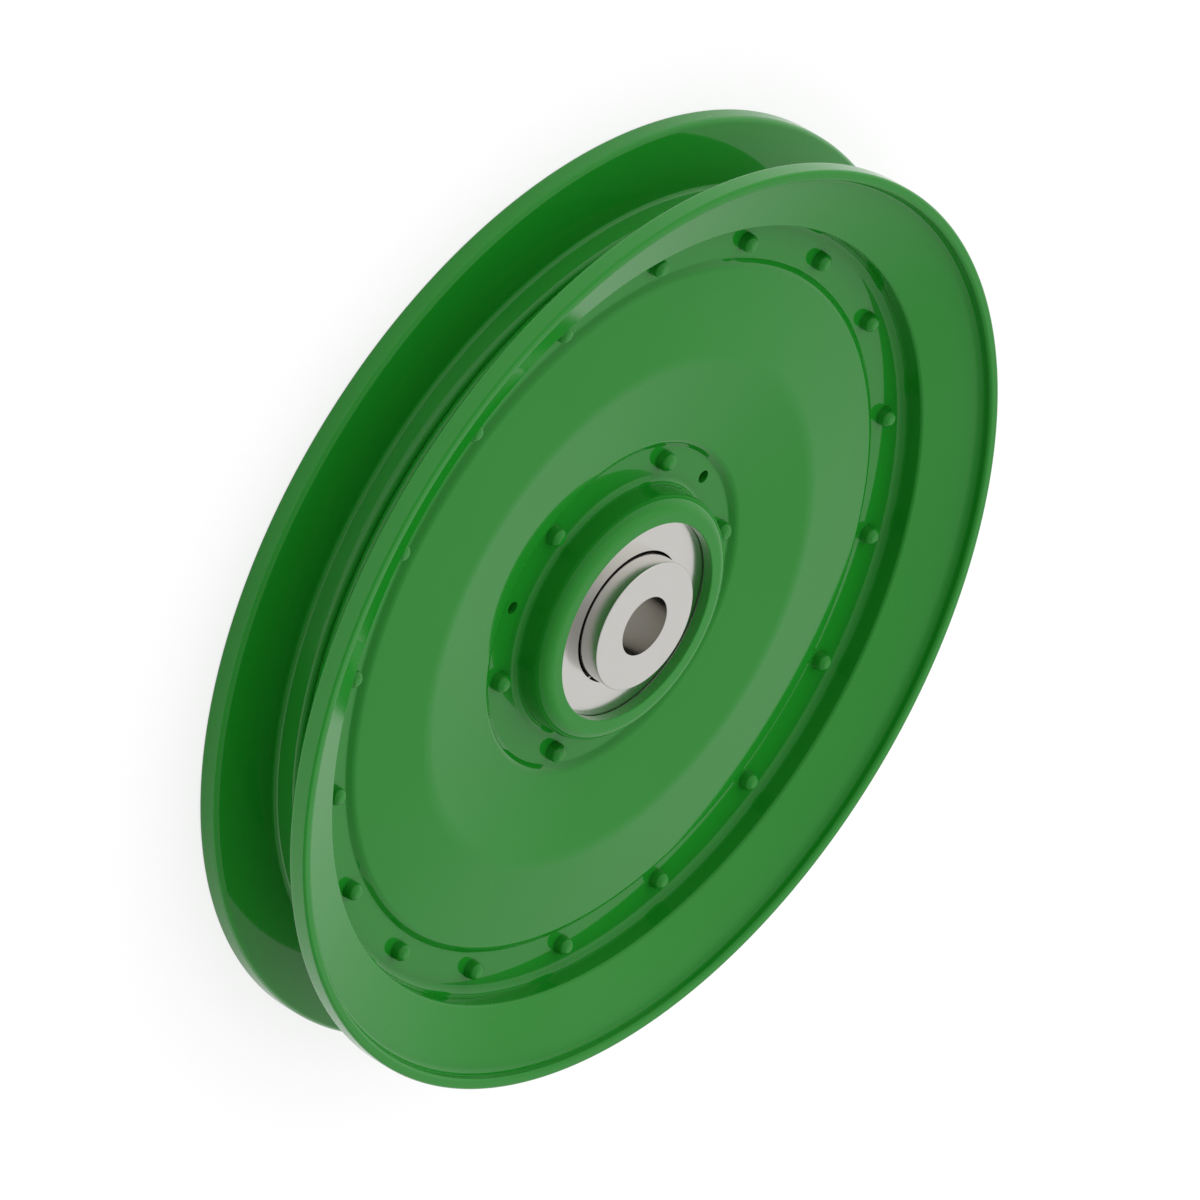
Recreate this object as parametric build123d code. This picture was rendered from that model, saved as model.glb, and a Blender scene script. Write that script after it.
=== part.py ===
from build123d import *
from math import atan2, cos, radians, sin, tan
import os

# Riveted sheet-steel belt idler on a shielded ball bearing, in millimetres.
# +Z is the axis of rotation, towards the front half. The origin is on that axis, in the parting plane.

# Pressed halves
sheet = 3.0                  # thickness of the pressed sheet
rim_radius = 127.0           # outside of the rim
rim_depth = 5.5              # corner of flange and rim to the rim's free edge
floor_radius = 110.5         # groove floor, on the belt's side
floor_half_width = 7.4       # parting plane to the corner of floor and flange
flange_angle = 16.7          # flange out of the plane square to the axis, in degrees
band_width = 11.5            # rivet band, from the groove wall in to the dished web
ridge_height = 4.05          # crest of the dished web above the rivet band
step_height = 1.65           # short step up from the rivet band or hub ring to the web
step_run = 1.65              # that step, across
ring_width = 10.0            # flat hub ring, from the bearing cup out to the web
lip_reach = 3.7              # lip, from the bearing's outside in over its face

# Bends and edges of the halves
ridge_bend = 20.0            # soft crest of the web
step_foot_bend = 0.6         # foot of each step, front side
step_top_bend = 2.5          # top of each step, front side
step_top_root = 0.3          # top of each step, back side
band_fillet = 2.5            # rivet band up into the groove wall
seam_edge = 1.7              # corner of the groove floor at the parting plane
root_fillet = 1.5            # groove floor to flange, belt side
wall_edge = 1.0              # groove wall to flange, front side
rim_bend = 1.7               # flange to rim, belt side
rim_root = 2.2               # flange to rim, front side
rim_inner_edge = 1.0         # free edge of the rim, inside
rim_outer_edge = 0.8         # free edge of the rim, outside
cup_root = 2.0               # hub ring up into the bearing cup
cup_mouth = 2.0              # parting plane into the bearing seat
cup_corner = 0.8             # seat to lip, inside the cup
lip_edge = 0.3               # mouth of the lip

# Rivets and small holes
band_rivet_count = 18
band_rivet_inset = 7.0       # groove wall in to the rivet circle
band_head_radius = 2.5
band_head_height = 3.2
band_shank_radius = 1.7
hub_rivet_count = 6
hub_rivet_inset = 6.2        # bearing cup out to the circle of hub rivets and small holes
hub_head_radius = 2.65
hub_head_height = 3.3
hub_shank_radius = 1.9
head_side = 1.6              # straight side of a head below its dome
head_lean = 0.2              # how far that side leans in
rivet_clearance = 0.05
hole_count = 3
hole_radius = 1.75
hole_angle = 30.0            # first small hole, midway between two hub rivets

# Ball bearing
bearing_radius = 31.0
bearing_bore = 12.5
bearing_half_width = 10.0
ring_chamfer = 0.8
seat_clearance = 0.02        # bearing in its cup, shields and bushes in the rings
ball_count = 7
ball_angle = 90.0            # first ball, so that both cage halves are the same part
ball_radius = 5.55
ball_clearance = 0.05        # ball to the bottom of each race
race_conformity = 1.04       # race curvature over ball radius
race_depth = 1.5             # bottom of each race below its lands
shield_seat_depth = 1.9      # shield's seat below the outer ring's land
shield_sheet = 0.6
shield_recess = 0.2          # shield's face below the ring's face
shield_gap = 0.6             # shield to the inner ring

# Ball cage
cage_sheet = 1.0
cage_width = 4.6             # flat ribbon, inside edge to outside edge
pocket_clearance = 0.15
cage_shank_radius = 0.7
cage_head_radius = 1.2
cage_head_height = 0.6

# Flanged bushes
bolt_hole_radius = 8.1
collar_length = 5.5
collar_chamfer = 0.15
bore_chamfer = 0.1

# Bearing sizes that follow
pitch_radius = (bearing_radius + bearing_bore) / 2
race_radius = ball_radius * race_conformity
inner_race = pitch_radius - ball_radius - ball_clearance
outer_race = pitch_radius + ball_radius + ball_clearance
inner_land = inner_race + race_depth
outer_land = outer_race - race_depth
shield_seat = outer_land + shield_seat_depth
shield_face = bearing_half_width - shield_recess
pocket_radius = ball_radius + pocket_clearance
cage_angle = ball_angle + 180 / ball_count

# Sizes of the halves that follow
cup_radius = bearing_radius + seat_clearance
cup_outside = cup_radius + sheet
lip_opening = bearing_radius - lip_reach
lip_top = bearing_half_width + sheet
ring_edge = cup_outside + ring_width
hub_circle = cup_outside + hub_rivet_inset
wall_radius = floor_radius - sheet
band_edge = wall_radius - band_width
band_circle = wall_radius - band_rivet_inset
rim_corner = floor_half_width + (rim_radius - floor_radius) * tan(radians(flange_angle))
rim_half_width = rim_corner + rim_depth
drill_length = 4 * sheet     # goes right through one half or the cage


def turned(outline):
    """Solid of revolution about Z from an outline drawn with radius across and height up."""
    return revolve(Plane.XZ * make_face(outline), Axis.Z)


def turned_over(part):
    """The same part on the rear side, turned half round about Y."""
    return part.rotate(Axis.Y, 180)


def around(part, circle, count, start=0):
    """Separate copies of a part spaced around the axis."""
    return [place * part for place in PolarLocations(circle, count, start)]


def drills(radius, circle, count, start=0):
    """Round cutters spaced around the axis."""
    return around(Cylinder(radius, drill_length), circle, count, start)


def across(before, corner, after, depth):
    """Corner on the sheet's other face: depth below a corner of a run that goes outwards."""
    first = (Vector(*corner) - Vector(*before)).normalized()
    second = (Vector(*after) - Vector(*corner)).normalized()
    down = Vector(first.Y, -first.X) + Vector(second.Y, -second.X)
    moved = Vector(*corner) + down * (depth / (1 + first.dot(second)))
    return (moved.X, moved.Y)


def web_corners():
    """Corners of the dished web from hub ring to rivet band, on the front and on the back."""
    step_top = sheet + step_height
    front = [
        (ring_edge, sheet),
        (ring_edge + step_run, step_top),
        ((ring_edge + band_edge) / 2, sheet + ridge_height),
        (band_edge - step_run, step_top),
        (band_edge, sheet),
    ]
    run = [(cup_radius, sheet), *front, (wall_radius, sheet)]
    back = [across(*trio, sheet) for trio in zip(run, run[1:], run[2:])]
    return front, back


def rim_corners():
    """Belt-side corners of floor, flange and rim, and the front-side corners of the same bends."""
    seam = (floor_radius, 0)
    root = (floor_radius, floor_half_width)
    bend = (rim_radius, rim_corner)
    edge = (rim_radius, rim_half_width)
    wall = across(seam, root, bend, -sheet)
    rim = across(root, bend, edge, -sheet)
    return [seam, root, bend, edge], [wall, rim]


def half_outline():
    """Section of the pressed half, from the lip over the bearing along the front to the rim and back."""
    web, web_back = web_corners()
    (seam, root, bend, edge), (wall, rim) = rim_corners()
    foot_back = step_foot_bend + sheet
    web_bends = [step_foot_bend, step_top_bend, ridge_bend, step_top_bend, step_foot_bend]
    back_bends = [foot_back, step_top_root, ridge_bend - sheet, step_top_root, foot_back]
    corners = [
        ((lip_opening, lip_top), lip_edge),
        ((cup_outside, lip_top), cup_corner + sheet),
        ((cup_outside, sheet), cup_root),
        *zip(web, web_bends),
        ((wall_radius, sheet), band_fillet),
        (wall, wall_edge),
        (rim, rim_root),
        ((rim[0], rim_half_width), rim_inner_edge),
        (edge, rim_outer_edge),
        (bend, rim_bend),
        (root, root_fillet),
        (seam, seam_edge),
        *reversed(list(zip(web_back, back_bends))),
        ((cup_radius, 0), cup_mouth),
        ((cup_radius, bearing_half_width), cup_corner),
        ((lip_opening, bearing_half_width), lip_edge),
    ]
    points = [point for point, bend_radius in corners]
    radii = [bend_radius for point, bend_radius in corners]
    return FilletPolyline(*points, radius=radii, close=True)


def pressed_half():
    """Front half: rim, flange, groove floor, rivet band, dished web, hub ring and bearing cup."""
    half = turned(half_outline())
    half -= drills(band_shank_radius + rivet_clearance, band_circle, band_rivet_count)
    half -= drills(hub_shank_radius + rivet_clearance, hub_circle, hub_rivet_count)
    half -= drills(hole_radius, hub_circle, hole_count, hole_angle)
    return half


def rivet(shank, head, height):
    """Rivet through both halves along Z, with a steep-sided domed head at each end."""
    shoulder = (head - head_lean, sheet + head_side)
    top = (0, sheet + height)
    rise = height - head_side
    dome = (shoulder[0] ** 2 + rise ** 2) / (2 * rise)
    half_arc = atan2(shoulder[0], dome - rise) / 2
    middle = (dome * sin(half_arc), top[1] - dome + dome * cos(half_arc))
    sides = Polyline(top, (0, 0), (shank, 0), (shank, sheet), (head, sheet), shoulder)
    upper = turned(sides.edges() + [ThreePointArc(shoulder, middle, top)])
    return upper + turned_over(upper)


def both_sides(outline):
    """Closed outline from corners at positive heights, mirrored about the parting plane."""
    return Polyline(*outline, *[(radius, -height) for radius, height in reversed(outline)], close=True)


def outer_ring():
    """Outer ring with its ball track and a seat for a shield at each side."""
    outline = both_sides([
        (outer_land, shield_face - shield_sheet),
        (shield_seat, shield_face - shield_sheet),
        (shield_seat, bearing_half_width),
        (bearing_radius - ring_chamfer, bearing_half_width),
        (bearing_radius, bearing_half_width - ring_chamfer),
    ])
    return turned(outline) - Torus(outer_race - race_radius, race_radius)


def inner_ring():
    """Inner ring with its ball track."""
    outline = both_sides([
        (bearing_bore, bearing_half_width - ring_chamfer),
        (bearing_bore + ring_chamfer, bearing_half_width),
        (inner_land, bearing_half_width),
    ])
    return turned(outline) - Torus(inner_race + race_radius, race_radius)


def shield():
    """Front shield: a thin ring pressed into the outer ring, just clear of the inner one."""
    disc = Cylinder(shield_seat - seat_clearance, shield_sheet)
    disc -= Cylinder(inner_land + shield_gap, shield_sheet)
    return Pos(0, 0, shield_face - shield_sheet / 2) * disc


def cage_half():
    """Front half of the pressed cage: a flat ribbon that bulges over each ball."""
    inside = pitch_radius - cage_width / 2
    outside = pitch_radius + cage_width / 2
    shell = pocket_radius + cage_sheet
    ribbon = Pos(0, 0, cage_sheet / 2) * Cylinder(outside, cage_sheet)
    slab = Pos(0, 0, shell / 2) * (Cylinder(outside, shell) - Cylinder(inside, shell))
    bulges = around(Sphere(shell), pitch_radius, ball_count, ball_angle)
    pockets = around(Sphere(pocket_radius), pitch_radius, ball_count, ball_angle)
    holes = drills(cage_shank_radius + rivet_clearance, pitch_radius, ball_count, cage_angle)
    return ((ribbon + bulges) & slab) - pockets - holes


def cage_rivet():
    """Small rivet through both cage halves."""
    pin = Cylinder(cage_shank_radius, 2 * cage_sheet)
    head = Pos(0, 0, cage_sheet + cage_head_height / 2) * Cylinder(cage_head_radius, cage_head_height)
    return pin + head + turned_over(head)


def bush():
    """Front flanged bush: a collar against the inner ring and a spigot that reaches the parting plane."""
    end = bearing_half_width + collar_length
    spigot = bearing_bore - seat_clearance
    outline = Polyline(
        (bolt_hole_radius, 0),
        (spigot, 0),
        (spigot, bearing_half_width),
        (inner_land, bearing_half_width),
        (inner_land, end - collar_chamfer),
        (inner_land - collar_chamfer, end),
        (bolt_hole_radius + bore_chamfer, end),
        (bolt_hole_radius, end - bore_chamfer),
        close=True,
    )
    return turned(outline)


def save(name, shape):
    """Write one node, a solid or a group of separate solids."""
    if isinstance(shape, list):
        shape = Compound(children=shape)
    export_step(shape, "parts/" + name + ".step")


def main():
    os.makedirs("parts", exist_ok=True)
    pairs = {"half": pressed_half(), "cage": cage_half(), "shield": shield(), "bush": bush()}
    for name, front in pairs.items():
        save("front_" + name, front)
        save("rear_" + name, turned_over(front))
    band_rivet = rivet(band_shank_radius, band_head_radius, band_head_height)
    hub_rivet = rivet(hub_shank_radius, hub_head_radius, hub_head_height)
    save("band_rivets", around(band_rivet, band_circle, band_rivet_count))
    save("hub_rivets", around(hub_rivet, hub_circle, hub_rivet_count))
    save("outer_ring", outer_ring())
    save("inner_ring", inner_ring())
    save("cage_rivets", around(cage_rivet(), pitch_radius, ball_count, cage_angle))
    for number, ball in enumerate(around(Sphere(ball_radius), pitch_radius, ball_count, ball_angle), 1):
        save("ball_" + str(number), ball)


main()
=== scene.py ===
from math import pi, radians, tan

import bmesh
import bpy
from mathutils import Matrix, Vector


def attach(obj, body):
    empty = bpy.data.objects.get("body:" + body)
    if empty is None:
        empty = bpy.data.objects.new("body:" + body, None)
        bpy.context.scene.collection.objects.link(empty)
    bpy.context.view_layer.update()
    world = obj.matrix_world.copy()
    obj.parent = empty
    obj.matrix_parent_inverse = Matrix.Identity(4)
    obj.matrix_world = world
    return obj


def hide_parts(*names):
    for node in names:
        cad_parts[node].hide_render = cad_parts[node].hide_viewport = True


# Riveted sheet-steel belt idler on a shielded ball bearing, in metres.
# +Z is the axis of rotation, towards the front half. The origin is on that axis, in the parting plane.
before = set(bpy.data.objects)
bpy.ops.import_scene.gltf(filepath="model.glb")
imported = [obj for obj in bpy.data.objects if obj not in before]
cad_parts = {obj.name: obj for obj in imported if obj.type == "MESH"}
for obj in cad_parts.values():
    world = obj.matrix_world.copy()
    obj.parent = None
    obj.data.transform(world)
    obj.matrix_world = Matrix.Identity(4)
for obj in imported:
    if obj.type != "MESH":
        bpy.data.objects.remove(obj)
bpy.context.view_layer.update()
mm = 0.001

# Pressed halves, with the sizes of the solids
sheet = 3.0 * mm                # thickness of the pressed sheet
rim_radius = 127.0 * mm         # outside of the rim
rim_depth = 5.5 * mm            # corner of flange and rim to the rim's free edge
floor_radius = 110.5 * mm       # groove floor, on the belt's side
floor_half_width = 7.4 * mm     # parting plane to the corner of floor and flange
flange_angle = radians(16.7)    # flange out of the plane square to the axis
band_width = 11.5 * mm          # rivet band, from the groove wall in to the dished web
ridge_height = 4.05 * mm        # crest of the dished web above the rivet band
step_height = 1.65 * mm         # short step up from the rivet band or hub ring to the web
step_run = 1.65 * mm            # that step, across
ring_width = 10.0 * mm          # flat hub ring, from the bearing cup out to the web
cup_radius = 31.02 * mm         # inside of the bearing cup
cup_depth = 10.0 * mm           # parting plane to the underside of the lip
lip_opening = 27.3 * mm         # mouth of the lip over the bearing

# Bends and edges of the halves
ridge_bend = 20.0 * mm          # soft crest of the web
step_foot_bend = 0.6 * mm       # foot of each step, front side
step_top_bend = 2.5 * mm        # top of each step, front side
step_top_root = 0.3 * mm        # top of each step, back side
band_fillet = 2.5 * mm          # rivet band up into the groove wall
seam_edge = 1.7 * mm            # corner of the groove floor at the parting plane
root_fillet = 1.5 * mm          # groove floor to flange, belt side
wall_edge = 1.0 * mm            # groove wall to flange, front side
rim_bend = 1.7 * mm             # flange to rim, belt side
rim_root = 2.2 * mm             # flange to rim, front side
rim_inner_edge = 1.0 * mm       # free edge of the rim, inside
rim_outer_edge = 0.8 * mm       # free edge of the rim, outside
cup_root = 2.0 * mm             # hub ring up into the bearing cup
cup_mouth = 2.0 * mm            # parting plane into the bearing seat
cup_corner = 0.8 * mm           # seat to lip, inside the cup
lip_front_edge = 0.35 * mm      # mouth of the lip, outside
lip_back_edge = 0.3 * mm        # mouth of the lip, on the bearing's side

# Rivets and small holes
band_rivet_count = 18
band_rivet_inset = 7.0 * mm     # groove wall in to the rivet circle
band_head_radius = 2.5 * mm
band_head_height = 3.2 * mm
band_shank_radius = 1.7 * mm
hub_rivet_count = 6
hub_rivet_inset = 6.2 * mm      # bearing cup out to the circle of hub rivets and small holes
hub_head_radius = 2.65 * mm
hub_head_height = 3.3 * mm
hub_shank_radius = 1.9 * mm
crown_share = 0.5               # flat crown of a head, as a share of its radius
shoulder_share = 0.92           # shoulder of a head, as a share of its radius
shoulder_rise = 0.72            # shoulder of a head, as a share of its height
crown_bend = 0.9 * mm
shoulder_bend = 1.1 * mm
rivet_clearance = 0.05 * mm
small_hole_count = 3
small_hole_radius = 1.75 * mm
small_hole_angle = radians(30)  # first small hole, midway between two hub rivets

# Bearing and flanged bushes
ball_count = 7
bolt_hole_radius = 8.1 * mm
spigot_radius = 12.48 * mm      # part of the bush that fits in the inner ring
collar_radius = 17.65 * mm
collar_length = 5.5 * mm
collar_inner_edge = 0.1 * mm    # collar, at the inner ring
collar_outer_edge = 0.25 * mm   # collar, at the end face
bore_edge = 0.12 * mm           # bore, at the end face

# Fineness of the meshes
bend_step = radians(9)          # of a bend, from edge to edge
dome_step = radians(15)         # of a rivet's head, from edge to edge
least_steps = 4                 # in any bend
half_steps = 256                # round a pressed half
bush_steps = 160                # round a bush
rivet_steps = 40                # round a rivet
hole_steps = 40                 # round a drilled hole
drill_length = 8 * sheet        # goes right through one half
seam_gap = 0.0001 * mm          # points this close are joined where a turned shape closes
sliver_gap = 0.005 * mm         # points this close are joined once holes are cut
sharp_angle = radians(40)       # edges that turn more than this stay sharp

# Finishes
gloss_spread = 0.2              # share by which the roughness of steel changes from ring to ring

# Camera, which looks along parallel lines
photo_pixels = 1200             # side of the photo
pixels_per_rim_radius = 510.72
camera_right = Vector((0.6804, 0.0, 0.7327))
camera_up = Vector((0.4682, 0.7690, -0.4350))
camera_offset = (0.2 * mm, -0.15 * mm)  # middle of the view from the origin, to the right and up
camera_distance = 0.6           # in front of the origin

# Light
sky_light = 1.9                 # strength of the light that falls on matt surfaces
bright_side = (0.99, 0.14, 0.0)
bright_share = 0.5              # added on the bright side, and taken off on the other

# Shade of the surroundings by height, from the horizon at 0 to straight up at 1
sky_bands = [(0.0, 0.61), (0.22, 0.63), (0.45, 0.6), (0.62, 0.52), (0.78, 0.67), (1.0, 0.64)]

# Floor
floor_reach = 4.0
floor_steps = 64
floor_gap = 0.05 * mm           # under the rear rim
floor_shadow = 0.25             # share of the lit floor in what the camera sees of it
mirrored_glow = 0.25            # share of plain white in what glossy surfaces mirror of it

# Sizes that follow
cup_outside = cup_radius + sheet
lip_top = cup_depth + sheet
ring_edge = cup_outside + ring_width
hub_circle = cup_outside + hub_rivet_inset
wall_radius = floor_radius - sheet
band_edge = wall_radius - band_width
band_circle = wall_radius - band_rivet_inset
rim_corner = floor_half_width + (rim_radius - floor_radius) * tan(flange_angle)
rim_half_width = rim_corner + rim_depth
collar_top = cup_depth + collar_length


def across(before, corner, after, depth):
    """Corner on the sheet's other face: depth below a corner of a run that goes outwards."""
    first = (Vector(corner) - Vector(before)).normalized()
    second = (Vector(after) - Vector(corner)).normalized()
    down = Vector((first.y, -first.x)) + Vector((second.y, -second.x))
    return tuple(Vector(corner) + down * depth / (1 + first.dot(second)))


def rounded_wire(corners, closed, step=bend_step):
    """Outline in the XZ plane from ((radius, height), bend) corners, each rounded to its bend."""
    bm = bmesh.new()
    verts = [bm.verts.new((radius, 0, height)) for (radius, height), bend in corners]
    ends = list(zip(verts, verts[1:]))
    if closed:
        ends.append((verts[-1], verts[0]))
    for pair in ends:
        bm.edges.new(pair)
    places = [Vector(place) for place, bend in corners]
    bends = [bend for place, bend in corners]
    for number, vert in enumerate(verts):
        if not bends[number]:
            continue
        before = places[number] - places[number - 1]
        after = places[(number + 1) % len(places)] - places[number]
        turn = before.angle(after)
        bmesh.ops.bevel(bm, geom=[vert], offset=bends[number] * tan(turn / 2), offset_type="OFFSET",
                        segments=max(least_steps, round(turn / step)), profile=0.5,
                        affect="VERTICES", material=-1)
    return bm


def spin_round(bm, steps):
    """Turns an outline once round Z."""
    bmesh.ops.spin(bm, geom=bm.verts[:] + bm.edges[:], cent=(0, 0, 0), axis=(0, 0, 1), dvec=(0, 0, 0),
                   angle=2 * pi, steps=steps, use_merge=True)
    bmesh.ops.remove_doubles(bm, verts=bm.verts, dist=seam_gap)
    bmesh.ops.recalc_face_normals(bm, faces=bm.faces)


def turn_over(bm):
    """Turns a front piece to the rear side, half round about Y."""
    bmesh.ops.rotate(bm, verts=bm.verts, cent=(0, 0, 0), matrix=Matrix.Rotation(pi, 3, "Y"))


def copy_around(bm, count):
    """Copies a shape around the axis to make count of it."""
    share = (count - 1) / count
    bmesh.ops.spin(bm, geom=bm.verts[:] + bm.edges[:] + bm.faces[:], cent=(0, 0, 0), axis=(0, 0, 1),
                   dvec=(0, 0, 0), angle=2 * pi * share, steps=count - 1, use_duplicate=True)


def add_object(name, mesh):
    """Object in the scene, at the origin."""
    obj = bpy.data.objects.new(name, mesh)
    bpy.context.scene.collection.objects.link(obj)
    return obj


def piece(name, bm, material, body, node):
    """Object from a finished shape, smooth over its bends, that stands for a node."""
    mesh = bpy.data.meshes.new(name)
    bm.to_mesh(mesh)
    bm.free()
    mesh.shade_smooth()
    mesh.set_sharp_from_angle(angle=sharp_angle)
    mesh.materials.append(material)
    obj = add_object(name, mesh)
    flats = obj.modifiers.new("flat_faces", "WEIGHTED_NORMAL")
    flats.keep_sharp = True
    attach(obj, body)
    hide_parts(node)


def drill(bm, radius, circle, count, start=0.0):
    """Cuts a ring of round holes through a shape."""
    cutter = bmesh.new()
    bmesh.ops.create_cone(cutter, cap_ends=True, segments=hole_steps, radius1=radius, radius2=radius,
                          depth=drill_length, matrix=Matrix.Translation((circle, 0, 0)))
    copy_around(cutter, count)
    bmesh.ops.rotate(cutter, verts=cutter.verts, cent=(0, 0, 0), matrix=Matrix.Rotation(start, 3, "Z"))
    blank, tool = [add_object(name, bpy.data.meshes.new(name)) for name in ("blank", "tool")]
    bm.to_mesh(blank.data)
    cutter.to_mesh(tool.data)
    cutter.free()
    cut = blank.modifiers.new("holes", "BOOLEAN")
    cut.object = tool
    cut.solver = "EXACT"
    drilled = blank.evaluated_get(bpy.context.evaluated_depsgraph_get()).to_mesh()
    bm.clear()
    bm.from_mesh(drilled)
    bmesh.ops.remove_doubles(bm, verts=bm.verts, dist=sliver_gap)
    for obj in (blank, tool):
        bpy.data.objects.remove(obj)


def web_corners():
    """Corners of the dished web from hub ring to rivet band, on the front and on the back."""
    step_top = sheet + step_height
    front = [
        (ring_edge, sheet),
        (ring_edge + step_run, step_top),
        ((ring_edge + band_edge) / 2, sheet + ridge_height),
        (band_edge - step_run, step_top),
        (band_edge, sheet),
    ]
    run = [(cup_radius, sheet), *front, (wall_radius, sheet)]
    back = [across(*trio, sheet) for trio in zip(run, run[1:], run[2:])]
    return front, back


def half_section():
    """Corners and bends of the pressed sheet, from the lip along the front to the rim and back."""
    web, web_back = web_corners()
    foot_back = step_foot_bend + sheet
    web_bends = [step_foot_bend, step_top_bend, ridge_bend, step_top_bend, step_foot_bend]
    back_bends = [foot_back, step_top_root, ridge_bend - sheet, step_top_root, foot_back]
    seam = (floor_radius, 0)
    root = (floor_radius, floor_half_width)
    corner = (rim_radius, rim_corner)
    edge = (rim_radius, rim_half_width)
    wall = across(seam, root, corner, -sheet)
    rim = across(root, corner, edge, -sheet)
    return [
        ((lip_opening, lip_top), lip_front_edge),
        ((cup_outside, lip_top), cup_corner + sheet),
        ((cup_outside, sheet), cup_root),
        *zip(web, web_bends),
        ((wall_radius, sheet), band_fillet),
        (wall, wall_edge),
        (rim, rim_root),
        ((rim[0], rim_half_width), rim_inner_edge),
        (edge, rim_outer_edge),
        (corner, rim_bend),
        (root, root_fillet),
        (seam, seam_edge),
        *reversed(list(zip(web_back, back_bends))),
        ((cup_radius, 0), cup_mouth),
        ((cup_radius, cup_depth), cup_corner),
        ((lip_opening, cup_depth), lip_back_edge),
    ]


def pressed_half(side, paint):
    """One painted half of the pulley, with its rivet holes and small holes."""
    bm = rounded_wire(half_section(), True)
    spin_round(bm, half_steps)
    drill(bm, band_shank_radius + rivet_clearance, band_circle, band_rivet_count)
    drill(bm, hub_shank_radius + rivet_clearance, hub_circle, hub_rivet_count)
    drill(bm, small_hole_radius, hub_circle, small_hole_count, small_hole_angle)
    if side == "rear":
        turn_over(bm)
    piece(side + "_pressing", bm, paint, "pulley", side + "_half")


def rivet_ring(name, node, paint, circle, count, head, height, shank):
    """Painted rivets through both halves, with a domed head on each side."""
    top = sheet + height
    upper = [
        ((0, top), 0),
        ((crown_share * head, top), crown_bend),
        ((shoulder_share * head, sheet + shoulder_rise * height), shoulder_bend),
        ((head, sheet), 0),
        ((shank, sheet), 0),
    ]
    lower = [((radius, -level), bend) for (radius, level), bend in reversed(upper)]
    bm = rounded_wire(upper + lower, False, dome_step)
    spin_round(bm, rivet_steps)
    bmesh.ops.translate(bm, verts=bm.verts, vec=(circle, 0, 0))
    copy_around(bm, count)
    piece(name, bm, paint, "pulley", node)


def flanged_bush(side, metal):
    """Turned bush with a collar on the inner ring."""
    bm = rounded_wire([
        ((bolt_hole_radius, 0), 0),
        ((spigot_radius, 0), 0),
        ((spigot_radius, cup_depth), 0),
        ((collar_radius, cup_depth), collar_inner_edge),
        ((collar_radius, collar_top), collar_outer_edge),
        ((bolt_hole_radius, collar_top), bore_edge),
    ], True)
    spin_round(bm, bush_steps)
    if side == "rear":
        turn_over(bm)
    piece(side + "_collar", bm, metal, "spindle", side + "_bush")


class Nodes:
    """A tree of nodes, with short ways to add and join them."""

    def __init__(self, tree):
        self.tree = tree

    def node(self, kind, **settings):
        """New node, with its settings and the numbers on its sockets."""
        new = self.tree.nodes.new(kind)
        for key, value in settings.items():
            if hasattr(new, key):
                setattr(new, key, value)
            else:
                new.inputs[key.replace("_", " ").title()].default_value = value
        return new

    def link(self, output, target):
        """Joins two sockets."""
        self.tree.links.new(output, target)

    def math(self, operation, *terms):
        """Result of one calculation, whose terms are sockets or numbers."""
        calculation = self.node("ShaderNodeMath", operation=operation)
        for socket, term in zip(calculation.inputs, terms):
            if isinstance(term, float):
                socket.default_value = term
            else:
                self.link(term, socket)
        return calculation.outputs["Value"]


class Finish(Nodes):
    """A node material that starts from a plain glossy surface."""

    def __init__(self, name):
        self.material = bpy.data.materials.new(name)
        self.material.use_nodes = True
        super().__init__(self.material.node_tree)
        self.surface = self.tree.nodes["Principled BSDF"]

    def gloss(self, source, low, high):
        """Spreads a pattern of 0 to 1 between two roughnesses."""
        spread = self.node("ShaderNodeMapRange", to_min=low, to_max=high)
        self.link(source, spread.inputs["Value"])
        self.link(spread.outputs["Result"], self.surface.inputs["Roughness"])

    def tint(self, source, dark, light):
        """Spreads a pattern of 0 to 1 between two colours."""
        mix = self.node("ShaderNodeMix", data_type="RGBA")
        self.link(source, mix.inputs["Factor"])
        # The colours are inputs 6 and 7 and output 2, after the ones for numbers and vectors
        mix.inputs[6].default_value = (*dark, 1)
        mix.inputs[7].default_value = (*light, 1)
        self.link(mix.outputs[2], self.surface.inputs["Base Color"])

    def relief(self, source, depth):
        """Fine relief of the surface, as deep as the given length."""
        bump = self.node("ShaderNodeBump", strength=1.0, distance=depth)
        self.link(source, bump.inputs["Height"])
        self.link(bump.outputs["Normal"], self.surface.inputs["Normal"])


def enamel():
    """Glossy green enamel: even colour, a faint orange peel and small changes in gloss."""
    paint = Finish("green_enamel")
    paint.surface.inputs["IOR"].default_value = 1.45
    place = paint.node("ShaderNodeTexCoord").outputs["Object"]
    clouds = paint.node("ShaderNodeTexNoise", scale=30.0, detail=2.0)
    peel = paint.node("ShaderNodeTexNoise", scale=900.0, detail=1.0)
    for pattern in (clouds, peel):
        paint.link(place, pattern.inputs["Vector"])
    paint.tint(clouds.outputs["Fac"], dark=(0.0078, 0.186, 0.0118), light=(0.0088, 0.200, 0.0132))
    paint.gloss(clouds.outputs["Fac"], low=0.03, high=0.06)
    paint.relief(peel.outputs["Fac"], depth=0.0006 * mm)
    return paint.material


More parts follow.
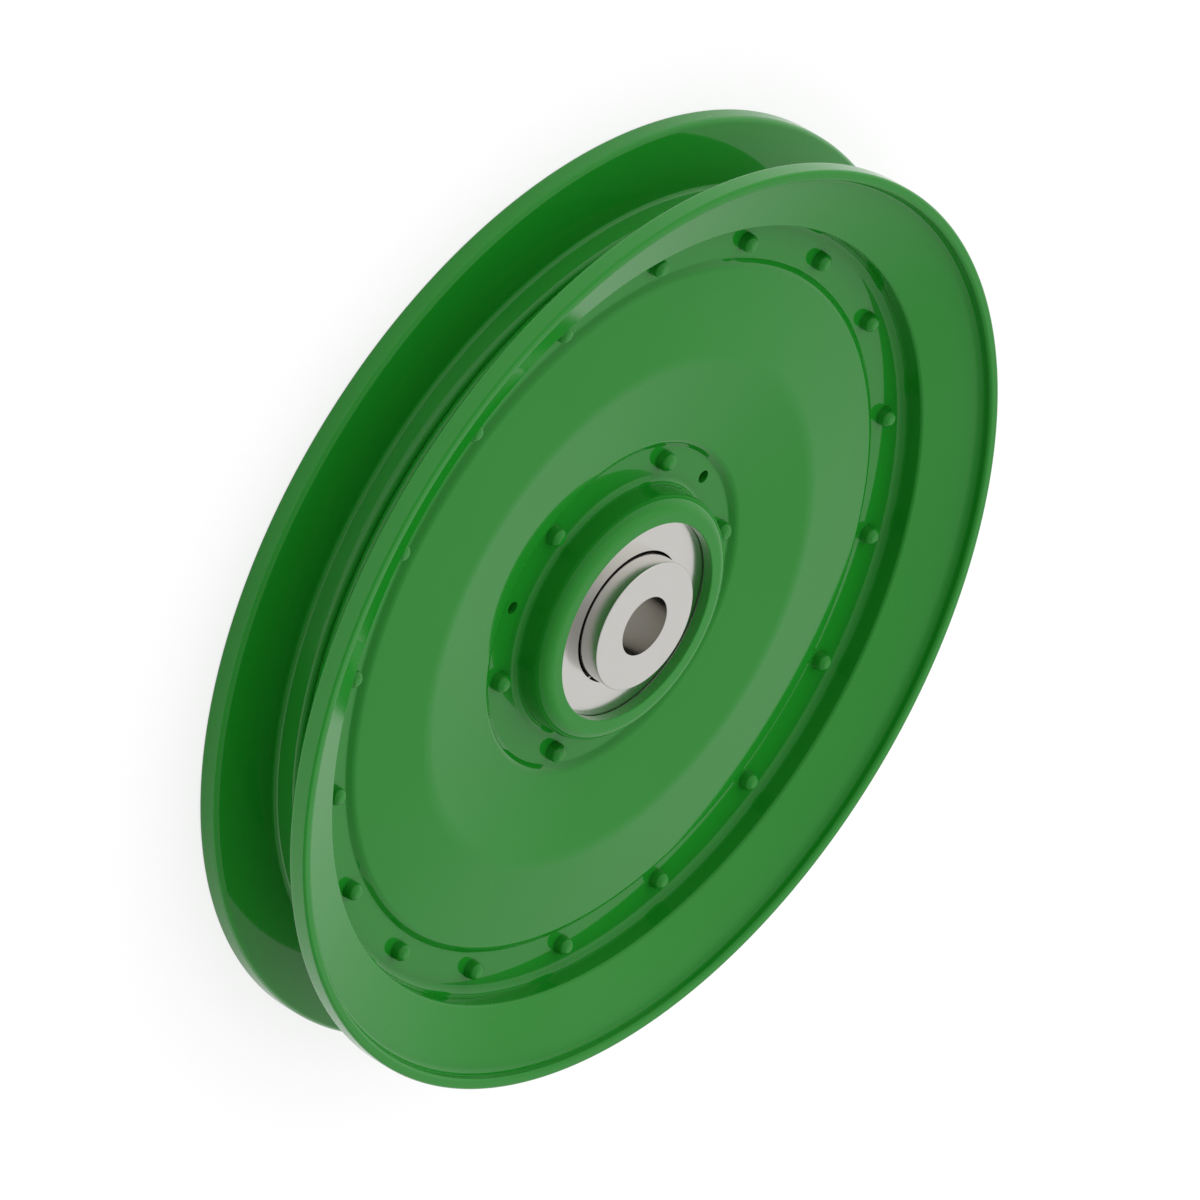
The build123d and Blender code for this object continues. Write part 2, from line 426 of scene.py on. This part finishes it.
def steel(name, dark, light, roughness, groove, depth):
    """Bare steel with fine rings round the axis, as turning, grinding or pressing leaves them."""
    metal = Finish(name)
    metal.surface.inputs["Metallic"].default_value = 1.0
    place = metal.node("ShaderNodeTexCoord").outputs["Object"]
    parts = metal.node("ShaderNodeSeparateXYZ")
    metal.link(place, parts.inputs["Vector"])
    flat = metal.node("ShaderNodeCombineXYZ")
    for direction in ("X", "Y"):
        metal.link(parts.outputs[direction], flat.inputs[direction])
    radius = metal.node("ShaderNodeVectorMath", operation="LENGTH")
    metal.link(flat.outputs["Vector"], radius.inputs["Vector"])
    # Radius and height together, so that both end faces and round sides show rings
    reach = metal.math("ADD", radius.outputs["Value"], parts.outputs["Z"])
    rings = metal.node("ShaderNodeTexNoise", noise_dimensions="1D", scale=1 / groove, detail=3.0)
    metal.link(reach, rings.inputs["W"])
    haze = metal.node("ShaderNodeTexNoise", scale=120.0, detail=3.0)
    metal.link(place, haze.inputs["Vector"])
    metal.tint(haze.outputs["Fac"], dark, light)
    metal.gloss(rings.outputs["Fac"], roughness * (1 - gloss_spread), roughness * (1 + gloss_spread))
    metal.relief(rings.outputs["Fac"], depth)
    return metal.material


def sky_pattern(sky, way):
    """Shade of the surroundings: soft bands from the horizon up, and one brighter side."""
    parts = sky.node("ShaderNodeSeparateXYZ")
    sky.link(way, parts.inputs["Vector"])
    bands = sky.node("ShaderNodeValToRGB")
    bands.color_ramp.interpolation = "EASE"
    stops = bands.color_ramp.elements
    for height, shade in sky_bands[1:-1]:
        stops.new(height)
    for stop, (height, shade) in zip(stops, sky_bands):
        stop.position = height
        stop.color = (shade, shade, shade, 1)
    sky.link(parts.outputs["Z"], bands.inputs["Fac"])
    side = sky.node("ShaderNodeVectorMath", operation="DOT_PRODUCT")
    sky.link(way, side.inputs[0])
    side.inputs[1].default_value = bright_side
    lean = sky.math("MULTIPLY_ADD", side.outputs["Value"], bright_share, 1.0)
    return sky.math("MULTIPLY", bands.outputs["Color"], lean)


def white_light():
    """Studio light all round, in front of a backdrop that the camera sees as white."""
    world = bpy.data.worlds.new("studio")
    bpy.context.scene.world = world
    world.use_nodes = True
    sky = Nodes(world.node_tree)
    path = sky.node("ShaderNodeLightPath").outputs
    seen = sky.math("MAXIMUM", path["Is Camera Ray"], path["Is Glossy Ray"])
    seen = sky.math("MAXIMUM", seen, path["Is Transmission Ray"])
    strength = sky.node("ShaderNodeMapRange", to_min=sky_light, to_max=1.0)
    sky.link(seen, strength.inputs["Value"])
    way = sky.node("ShaderNodeTexCoord").outputs["Generated"]
    backdrop = sky.node("ShaderNodeMix", b=1.0)
    sky.link(path["Is Camera Ray"], backdrop.inputs["Factor"])
    sky.link(sky_pattern(sky, way), backdrop.inputs["A"])
    level = sky.math("MULTIPLY", strength.outputs["Result"], backdrop.outputs["Result"])
    background = world.node_tree.nodes["Background"]
    background.inputs["Color"].default_value = (1, 1, 1, 1)
    sky.link(level, background.inputs["Strength"])


def floor_finish():
    """Matt white that mostly glows to the camera, so that only a faint shadow is left on it."""
    white = Finish("white_floor")
    white.surface.inputs["Base Color"].default_value = (1, 1, 1, 1)
    white.surface.inputs["Roughness"].default_value = 1.0
    white.surface.inputs["Specular IOR Level"].default_value = 0.0
    glow = white.node("ShaderNodeEmission")
    path = white.node("ShaderNodeLightPath").outputs
    mirrored = white.math("MULTIPLY", path["Is Glossy Ray"], mirrored_glow)
    share = white.math("MULTIPLY_ADD", path["Is Camera Ray"], 1 - floor_shadow, mirrored)
    mix = white.node("ShaderNodeMixShader")
    lit, glowing = mix.inputs[1:3]
    white.link(share, mix.inputs["Fac"])
    white.link(white.surface.outputs["BSDF"], lit)
    white.link(glow.outputs["Emission"], glowing)
    white.link(mix.outputs["Shader"], white.tree.nodes["Material Output"].inputs["Surface"])
    return white.material


def pale_floor():
    """White floor just under the rear rim."""
    bm = bmesh.new()
    bmesh.ops.create_circle(bm, cap_ends=True, segments=floor_steps, radius=floor_reach,
                            matrix=Matrix.Translation((0, 0, -rim_half_width - floor_gap)))
    mesh = bpy.data.meshes.new("floor")
    bm.to_mesh(mesh)
    bm.free()
    mesh.materials.append(floor_finish())
    add_object("floor", mesh)


def camera():
    """Long view of the front face, as the photo shows it."""
    back = camera_right.cross(camera_up).normalized()
    data = bpy.data.cameras.new("camera")
    data.type = "ORTHO"
    data.ortho_scale = photo_pixels / pixels_per_rim_radius * rim_radius
    centre = camera_right * camera_offset[0] + camera_up * camera_offset[1]
    turn = Matrix((camera_right, camera_up, back)).transposed().to_4x4()
    obj = add_object("camera", data)
    obj.matrix_world = Matrix.Translation(centre + back * camera_distance) @ turn
    bpy.context.scene.camera = obj


def dress(material, *names):
    """Finish for nodes that keep their own shape."""
    for name in names:
        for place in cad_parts[name].material_slots:
            place.material = material


def main():
    paint = enamel()
    turned = steel("turned_steel", dark=(0.77, 0.76, 0.72), light=(0.82, 0.80, 0.77),
                   roughness=0.16, groove=0.35 * mm, depth=0.00004 * mm)
    plate = steel("shield_steel", dark=(0.77, 0.76, 0.72), light=(0.82, 0.80, 0.77),
                  roughness=0.18, groove=0.6 * mm, depth=0.00004 * mm)
    ground = steel("ground_steel", dark=(0.55, 0.54, 0.53), light=(0.60, 0.59, 0.58),
                   roughness=0.18, groove=0.2 * mm, depth=0.0003 * mm)
    pressed = steel("pressed_steel", dark=(0.44, 0.43, 0.42), light=(0.52, 0.51, 0.50),
                    roughness=0.35, groove=0.5 * mm, depth=0.0006 * mm)
    bright = steel("polished_balls", dark=(0.68, 0.68, 0.68), light=(0.72, 0.72, 0.72),
                   roughness=0.06, groove=0.2 * mm, depth=0.0001 * mm)
    for side in ("front", "rear"):
        pressed_half(side, paint)
        flanged_bush(side, turned)
    rivet_ring("band_rivet_heads", "band_rivets", paint, band_circle, band_rivet_count,
               band_head_radius, band_head_height, band_shank_radius)
    rivet_ring("hub_rivet_heads", "hub_rivets", paint, hub_circle, hub_rivet_count,
               hub_head_radius, hub_head_height, hub_shank_radius)
    dress(plate, "front_shield", "rear_shield")
    dress(ground, "outer_ring", "inner_ring")
    dress(pressed, "front_cage", "rear_cage", "cage_rivets")
    dress(bright, *["ball_" + str(number + 1) for number in range(ball_count)])
    white_light()
    pale_floor()
    camera()
    bpy.context.scene.view_settings.view_transform = "Standard"


main()
